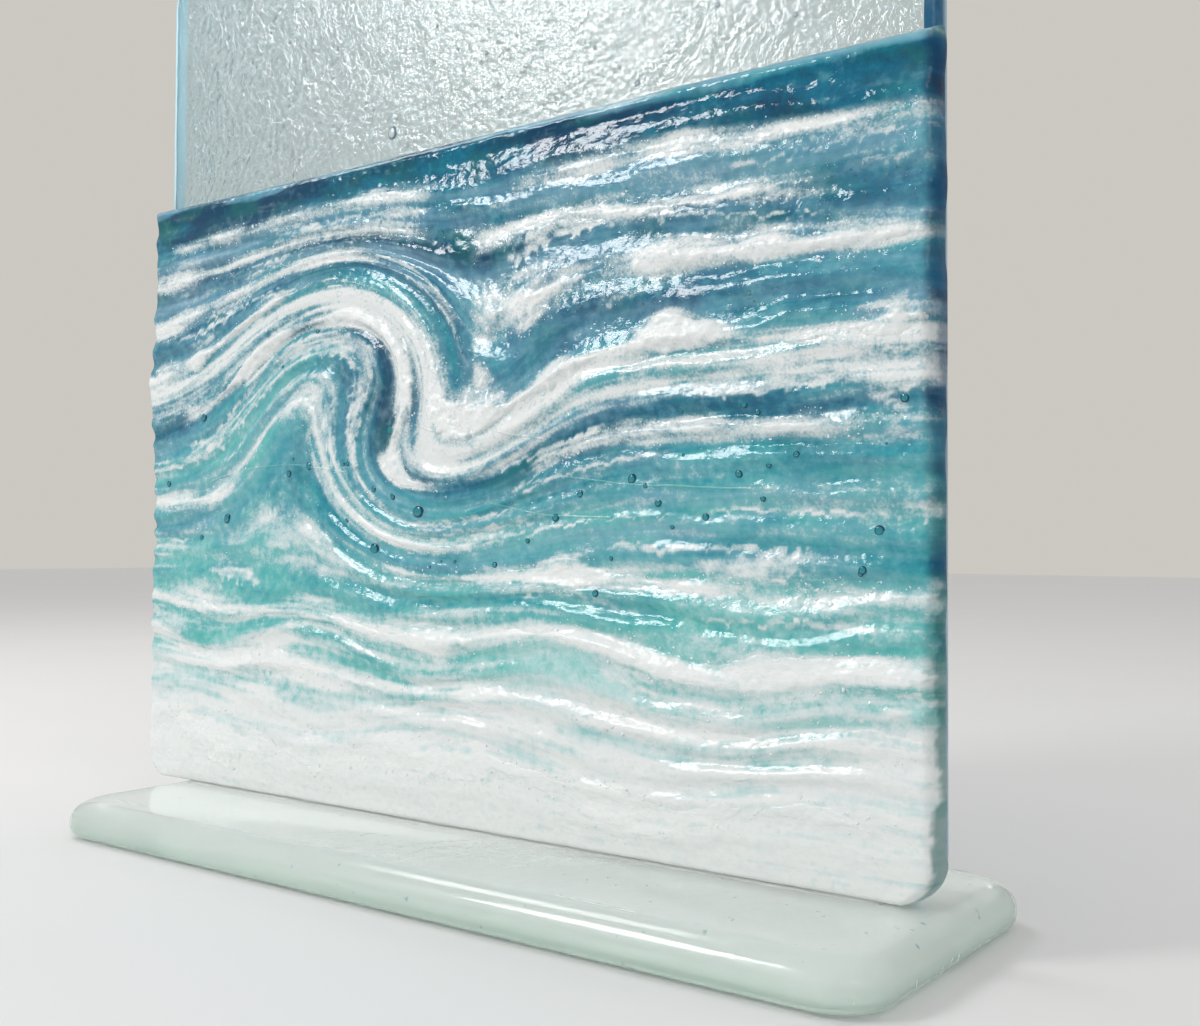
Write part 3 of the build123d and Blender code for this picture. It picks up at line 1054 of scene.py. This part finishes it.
class SEASCAPE_OT_stringers(bpy.types.Operator):
    """Draw the glass stringers over the wave's face, thinning towards their ends"""

    bl_idname = "seascape.stringers"
    bl_label = "Stringers"

    def execute(self, context):
        finish = bpy.data.materials["sea_glass"]
        points = []
        sizes = []
        edges = []
        tints = []
        for island in node_islands("face_stringers"):
            island = island[np.argsort(island[:, 0])]
            start, end = island[0, 0] + STRINGER_INSET, island[-1, 0] - STRINGER_INSET
            x = np.linspace(start, end, STRINGER_POINTS)
            bend = np.polyfit(island[:, 0], island[:, 2], 2)
            z = np.polyval(bend, x) + 0.25 * smooth_noise(x / 6, 0 * x, 700)
            share = np.linspace(0, 1, len(x))
            edges += [(len(sizes) + k, len(sizes) + k + 1) for k in range(len(x) - 1)]
            taper = 0.25 + 0.75 * np.sqrt(np.sin(pi * share))
            sizes += list(taper * (0.85 + 0.3 * smooth_noise(x / 3, 0 * x, 701)))
            points.append(to_frame(x, sea_height(x, z) - STRINGER_SINK, z))
            tints.append(sea_tints(x, z))
        source = sized_points("stringer_paths", np.concatenate(points), sizes, edges)
        for key in tints[0]:
            values = np.concatenate([tint[key] for tint in tints])
            add_tint(source, key, values + STRINGER_PALER if key == "depth" else values)
        radius = context.scene.seascape_sizes.thread_radius
        values = {"Radius": radius, "Sides": STRINGER_SIDES, "Finish": finish}
        threads = grow_mesh("stringers", source, thread_group(), values)
        place_piece("face_stringer_threads", threads, finish, ["face_stringers"])
        return {"FINISHED"}


# What the geometry tree takes for a frit grain and for a bead over a bubble
GRAIN_FORM = {"Detail": 1, "Flatness": 0.7, "Longest": 1.7, "Seed": 7}
BEAD_FORM = {"Detail": 3, "Flatness": 0.3, "Longest": 1.15, "Seed": 7}

# How far grains keep in from the sea's ends and foot, and from its horizon, in millimetres
GRAIN_INSET = 2.5
GRAIN_BELOW = 3.5

# Places tried at a time, how alike grains are in size, and how much larger the coarse ones are
GRAIN_TRIES = 4000
GRAIN_LIKENESS = 6.0
COARSE_GRAIN = 1.8


class SEASCAPE_OT_grains(bpy.types.Operator):
    """Strew white and clear frit grains over the sea, and set beads over its air bubbles"""

    bl_idname = "seascape.grains"
    bl_label = "Frit grains"

    def execute(self, context):
        sizes = context.scene.seascape_sizes
        tones = context.scene.seascape_colours
        clear = clear_finish(
            "clear_frit", tones.sky, FRIT_DENSITY, rough=0.1, ripple_scale=1500, ripple_strength=0.2)
        white = grain_finish()
        group = grain_group()
        chips = np.array([island.mean(axis=0) for island in node_islands("frit_grains")])
        strewn_x, strewn_z = self.strew(sizes.clear_grains, 710, self.swell_share)
        x = np.concatenate([chips[:, 0], strewn_x])
        z = np.concatenate([chips[:, 2], strewn_z])
        radius = self.radii(len(x), 711, sizes.grain_radius)
        radius[:len(chips)] *= COARSE_GRAIN
        self.place("clear_frit_grains", group, GRAIN_FORM, x, z, radius, clear, ["frit_grains"])
        x, z = self.strew(sizes.white_grains, 720, self.foam_share)
        radius = self.radii(len(x), 721, sizes.grain_radius)
        self.place("white_frit_grains", group, GRAIN_FORM, x, z, radius, white, slot="white_opal")
        x, z = self.strew(sizes.beads, 730, self.face_share)
        # Beads with painted shade round their rims, navy on the water and slate in the sky
        finish = bubble_finish("bubble_glass", tones.turquoise, tones.navy, 0.4)
        radius = self.radii(len(x), 731, sizes.bead_radius)
        self.place("bubble_beads", group, BEAD_FORM, x, z, radius, finish)
        random = np.random.default_rng(732)
        x = SHEET_HALF * (1 - 1.2 * random.uniform(0, 1, sizes.sky_beads) ** 2.2) - 5
        z = random.uniform(LEVELS[-1] + 3, SHEET_TALL - 6, sizes.sky_beads)
        finish = bubble_finish("sky_bubble_glass", tones.milk, tones.slate, 0.6)
        radius = self.radii(len(x), 733, 0.7 * sizes.bead_radius)
        slot = SLOTS["back_sheet"]
        self.place("sky_bubble_beads", group, BEAD_FORM, x, z, radius, finish, slot=slot, height=0 * x)
        return {"FINISHED"}

    @staticmethod
    def strew(count, seed, share):
        """Random places on the sea, kept as often as a share of the place says."""
        random = np.random.default_rng(seed)
        kept = np.empty((2, 0))
        while kept.shape[1] < count:
            x = random.uniform(GRAIN_INSET - SEA_HALF, SEA_HALF - GRAIN_INSET, GRAIN_TRIES)
            z = random.uniform(GRAIN_INSET, LEVELS[-1] - GRAIN_BELOW, GRAIN_TRIES)
            chosen = random.uniform(0, 1, GRAIN_TRIES) < share(x, z)
            kept = np.concatenate([kept, np.stack([x[chosen], z[chosen]])], axis=1)
        return kept[:, :count]

    @staticmethod
    def foam_share(x, z):
        """White grains lie along the foam's edges."""
        near = np.max([foam_field(name, x, z) for name in FOAM], axis=0)
        return step(-2.4, -0.4, near) * step(1.2, 0.2, near)

    @staticmethod
    def swell_share(x, z):
        """Clear grains lie in patches on the swells, most of them between levels 100 and 114."""
        _, w = flow(x, z)
        band = np.interp(w, [60, 76, 88, 100, 108, 114, 124, 133], [0.05, 0.25, 0.1, 0.3, 1.0, 0.4, 0.5, 0.0])
        return band * step(-0.1, 0.5, rough_noise(x / 12, z / 5, 740))

    @staticmethod
    def face_share(x, z):
        """Beads show in the clear water of the wave's face."""
        _, w = flow(x, z)
        return step(46, 56, w) * step(90, 84, w) * step(0.45, 0.2, sea_tints(x, z)["white"])

    @staticmethod
    def radii(count, seed, mean):
        """Random radii about a mean."""
        return mean * np.random.default_rng(seed).gamma(GRAIN_LIKENESS, 1 / GRAIN_LIKENESS, count)

    @staticmethod
    def place(name, group, form, x, z, radius, finish, nodes=(), slot="clear_frit", height=None):
        """One piece of grains of a form, on the sea or at heights of their own."""
        height = sea_height(x, z) if height is None else height
        source = sized_points(name, to_frame(x, height, z), radius)
        grains = grow_mesh(name, source, group, {**form, "Finish": finish})
        place_piece(name, grains, finish, nodes)


class SEASCAPE_OT_bond(bpy.types.Operator):
    """Lay the adhesive under the panel, with the small fillet that was squeezed out round its foot"""

    bl_idname = "seascape.bond"
    bl_label = "Bond"

    def execute(self, context):
        tones = context.scene.seascape_colours
        finish = clear_finish(
            "bond_adhesive", tones.base, BOND_DENSITY, rough=0.2, ripple_scale=700, ripple_strength=0.2,
            body=tones.milky, clear=0.4)
        low, high = node_box("bond_film")
        middle = (low + high) / 2
        half = (high - low) / 2
        run = np.linspace(-half[0], half[0], 90)
        turn = np.linspace(-pi / 2, pi / 2, 13)[1:-1]
        along = np.concatenate([run, half[0] + 0 * turn, run[::-1], -half[0] + 0 * turn])
        aside = np.concatenate([0 * run, np.cos(turn), 0 * run, -np.cos(turn)])
        out = np.concatenate([0 * run - 1, np.sin(turn), 0 * run + 1, -np.sin(turn)])
        uneven = 0.12 * smooth_noise(along / 5, out, 800)
        taper = np.sqrt(np.clip((half[0] - np.abs(along)) / 8, 0, 1))
        foot = -half[2]
        profile = ((0.1, foot), (0.4, foot), (0.33, 0.0), (0.2, 0.15), (0.1, 0.35), (-0.5, 0.35))
        rings = []
        for spread, rise in profile:
            reach = half[1] + spread * taper + uneven * taper * (spread > 0.1)
            level = np.full(len(along), rise)
            rings.append(np.column_stack([along + aside * (spread + 0.2), out * reach, level]))
        points = np.concatenate(rings) + middle
        faces = ring_faces(len(rings), len(along))
        make_piece("bond_fillet", points * MM, faces, finish, ["bond_film"])
        return {"FINISHED"}


class SEASCAPE_OT_base(bpy.types.Operator):
    """Build the base slab, with pillow edges and a faintly uneven top"""

    bl_idname = "seascape.base"
    bl_label = "Base slab"

    def execute(self, context):
        finish = base_finish()
        low, high = node_box("base_slab")
        middle = (low + high) / 2
        half = (high - low) / 2
        tall = high[2] - low[2]
        turns = np.linspace(0, pi / 2, 13)
        ring = []
        for quarter, (sx, sy) in enumerate(((1, 1), (-1, 1), (-1, -1), (1, -1))):
            angle = turns + quarter * pi / 2
            x = sx * (half[0] - BASE_CORNER) + BASE_CORNER * np.cos(angle)
            y = sy * (half[1] - BASE_CORNER) + BASE_CORNER * np.sin(angle)
            ring.append(np.stack([x, y], axis=-1))
        outline = np.concatenate([self.along(ring[k], ring[(k + 1) % 4][0]) for k in range(4)])
        foot = np.linspace(0, pi / 2, 6)
        top = np.linspace(0, pi / 2, 10)
        profile = [(BASE_FOOT_ROUND * (1 - sin(a)), BASE_FOOT_ROUND * (1 - cos(a))) for a in foot]
        profile += [(BASE_TOP_ROUND * (1 - cos(a)), tall - BASE_TOP_ROUND * (1 - sin(a))) for a in top]
        rings = []
        for inset, z in profile:
            shrunk = outline * (1 - inset / np.abs(outline).max(axis=0))
            rings.append(np.column_stack([shrunk, np.full(len(outline), z)]))
        for share in np.linspace(0.97, 0.03, 26):
            inner = rings[len(profile) - 1][:, :2] * share
            uneven = 0.05 * rough_noise(inner[:, 0] / 16, inner[:, 1] / 12, 500, 2) * (1 - share**8)
            rings.append(np.column_stack([inner, tall + uneven]))
        points = np.concatenate(rings) + np.array([middle[0], middle[1], low[2]])
        faces = ring_faces(len(rings), len(outline))
        inset, rise = (np.repeat(values, len(outline)) for values in zip(*profile))
        # edge: painted shade for the base's rounded edge. It is strongest at the foot and fades up the top
        # rounding, and the top's inner rings get none.
        edge = step(BASE_TOP_ROUND, 0.0, inset) * (0.3 + 0.7 * step(6.0, 0.5, rise))
        edge = np.concatenate([edge, np.zeros(len(points) - len(edge))])
        make_piece("base_slab_glass", points * MM, faces, finish, ["base_slab"], tints={"edge": edge})
        return {"FINISHED"}

    @staticmethod
    def along(corner, following):
        """A corner's points and the straight run to the next corner."""
        run = np.linspace(corner[-1], following, 40)[1:-1]
        return np.concatenate([corner, run])


class Lamp(NamedTuple):
    """A soft box: its place, what it is aimed at and its sides, in metres, and its power in watts."""

    name: str
    place: tuple
    aim: tuple
    width: float
    depth: float
    power: float


LAMPS = [
    Lamp("overhead_softbox", (-0.60, 0.02, 0.85), (0.0, 0.0, 0.10), 0.4, 0.3, 2.0),
    Lamp("left_softbox", (-0.46, -0.60, 0.55), (0.0, 0.0, 0.14), 0.22, 0.22, 3.0),
    Lamp("right_softbox", (0.70, -0.35, 0.55), (0.0, 0.0, 0.05), 0.3, 0.3, 0.4),
]

# The world's light, what it adds behind glass that lamps can't light through, and how much mirrors lose
WORLD_LIGHT = 0.80
GLASS_LIGHT = 0.75
MIRROR_LOSS = 0.32

# Half the floor's width, how far it lies under the foot, and its glow through glass
FLOOR_REACH = 3.0
FLOOR_DROP = 0.0003
FLOOR_GLOW = 1.4

# The camera's place from the base's middle, in metres, and its turns, in radians
CAMERA_PLACE = (0.17626, -0.19893, 0.0654)
CAMERA_YAW = 0.6375
CAMERA_PITCH = 0.0252
CAMERA_ROLL = 0.0046


class SEASCAPE_OT_stage(bpy.types.Operator):
    """Set the floor, lights, world and camera"""

    bl_idname = "seascape.stage"
    bl_label = "Stage"

    def execute(self, context):
        scene = context.scene
        tones = scene.seascape_colours
        self.make_floor(tones)
        self.make_world(scene, tones)
        for lamp in LAMPS:
            self.make_lamp(lamp)
        self.make_camera(scene)
        scene.view_settings.view_transform = "Standard"
        return {"FINISHED"}

    @staticmethod
    def make_floor(tones):
        corners = ((-1, -1), (1, -1), (1, 1), (-1, 1))
        points = [(x * FLOOR_REACH, y * FLOOR_REACH, -FLOOR_DROP) for x, y in corners]
        mesh = bpy.data.meshes.new("floor")
        mesh.from_pydata(points, [], [(0, 1, 2, 3)])
        material, tree = new_finish("floor")
        patch = tree.noise(14, 3)
        shade = tree.mix(patch, opaque(tuple(part * 0.97 for part in tones.floor)), opaque(tones.floor))
        lit = tree.node("ShaderNodeBsdfPrincipled", None, {"Base Color": shade, "Roughness": 0.65})
        shown = tree.node("ShaderNodeEmission", None, {"Color": opaque(tones.floor), "Strength": FLOOR_GLOW})
        through = tree.ray("Is Transmission Ray")
        both = tree.node("ShaderNodeMixShader", None, {0: through, 1: lit, 2: shown})
        tree.node("ShaderNodeOutputMaterial", None, {"Surface": both})
        mesh.materials.append(material)
        floor = add_object("floor", mesh)

    @staticmethod
    def make_world(scene, tones):
        world = bpy.data.worlds.new("studio")
        scene.world = world
        world.use_nodes = True
        world.node_tree.nodes.clear()
        tree = Tree(world.node_tree)
        direct = tree.ray("Is Camera Ray")
        glossy = tree.ray("Is Glossy Ray")
        through = tree.ray("Is Transmission Ray")
        scattered = tree.ray("Diffuse Depth").clamp()
        seen = (direct + glossy + through).clamp() * (1 - scattered)
        light = through * scattered * GLASS_LIGHT + WORLD_LIGHT
        lit = tree.node("ShaderNodeBackground", None, {"Color": opaque((1, 1, 1)), "Strength": light})
        view = 1 - glossy * (1 - through) * MIRROR_LOSS
        shown = tree.node("ShaderNodeBackground", None, {"Color": opaque(tones.wall), "Strength": view})
        both = tree.node("ShaderNodeMixShader", None, {0: seen, 1: lit, 2: shown})
        tree.node("ShaderNodeOutputWorld", None, {"Surface": both})

    @staticmethod
    def make_lamp(lamp):
        light = bpy.data.lights.new(lamp.name, "AREA")
        light.shape = "RECTANGLE"
        light.size = lamp.width
        light.size_y = lamp.depth
        light.energy = lamp.power
        stand = add_object(lamp.name, light)
        stand.location = lamp.place
        stand.rotation_euler = (Vector(lamp.aim) - Vector(lamp.place)).to_track_quat("-Z", "Y").to_euler()

    @staticmethod
    def make_camera(scene):
        low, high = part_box("base_slab")
        place = Vector(((low.x + high.x) / 2, 0.0, 0.0)) + Vector(CAMERA_PLACE)
        flat = cos(CAMERA_PITCH)
        forward = Vector((-sin(CAMERA_YAW) * flat, cos(CAMERA_YAW) * flat, sin(CAMERA_PITCH)))
        level = Vector((cos(CAMERA_YAW), sin(CAMERA_YAW), 0.0))
        upright = level.cross(forward)
        right = cos(CAMERA_ROLL) * level + sin(CAMERA_ROLL) * upright
        up = cos(CAMERA_ROLL) * upright - sin(CAMERA_ROLL) * level
        data = bpy.data.cameras.new("camera")
        data.sensor_width = 36.0
        data.lens = scene.seascape_sizes.lens
        data.clip_start = 0.01
        camera = add_object("camera", data)
        turn = Matrix((right, up, -forward)).transposed()
        camera.matrix_world = Matrix.Translation(place) @ turn.to_4x4()
        scene.camera = camera


class SEASCAPE_PT_panel(bpy.types.Panel):
    """Lists the operators that build the seascape"""

    bl_idname = "SEASCAPE_PT_panel"
    bl_label = "Fused glass seascape"
    bl_space_type = "VIEW_3D"
    bl_region_type = "UI"
    bl_category = "Seascape"

    def draw(self, context):
        for operator in OPERATORS:
            self.layout.operator(operator.bl_idname)
        for group in (context.scene.seascape_colours, context.scene.seascape_sizes):
            for name in group.__annotations__:
                self.layout.prop(group, name)


OPERATORS = [
    SEASCAPE_OT_stage,
    SEASCAPE_OT_back_sheet,
    SEASCAPE_OT_sea_strips,
    SEASCAPE_OT_foam,
    SEASCAPE_OT_stringers,
    SEASCAPE_OT_grains,
    SEASCAPE_OT_bond,
    SEASCAPE_OT_base,
]
CLASSES = [SeascapeColours, SeascapeSizes, *OPERATORS, SEASCAPE_PT_panel]


def register():
    for kind in CLASSES:
        bpy.utils.register_class(kind)
    bpy.types.Scene.seascape_colours = PointerProperty(type=SeascapeColours)
    bpy.types.Scene.seascape_sizes = PointerProperty(type=SeascapeSizes)


def unregister():
    del bpy.types.Scene.seascape_sizes
    del bpy.types.Scene.seascape_colours
    for kind in reversed(CLASSES):
        bpy.utils.unregister_class(kind)


def main():
    register()
    bpy.ops.seascape.stage()
    bpy.ops.seascape.back_sheet()
    bpy.ops.seascape.sea_strips()
    bpy.ops.seascape.foam()
    bpy.ops.seascape.stringers()
    bpy.ops.seascape.grains()
    bpy.ops.seascape.bond()
    bpy.ops.seascape.base()


if __name__ == "__main__":
    main()
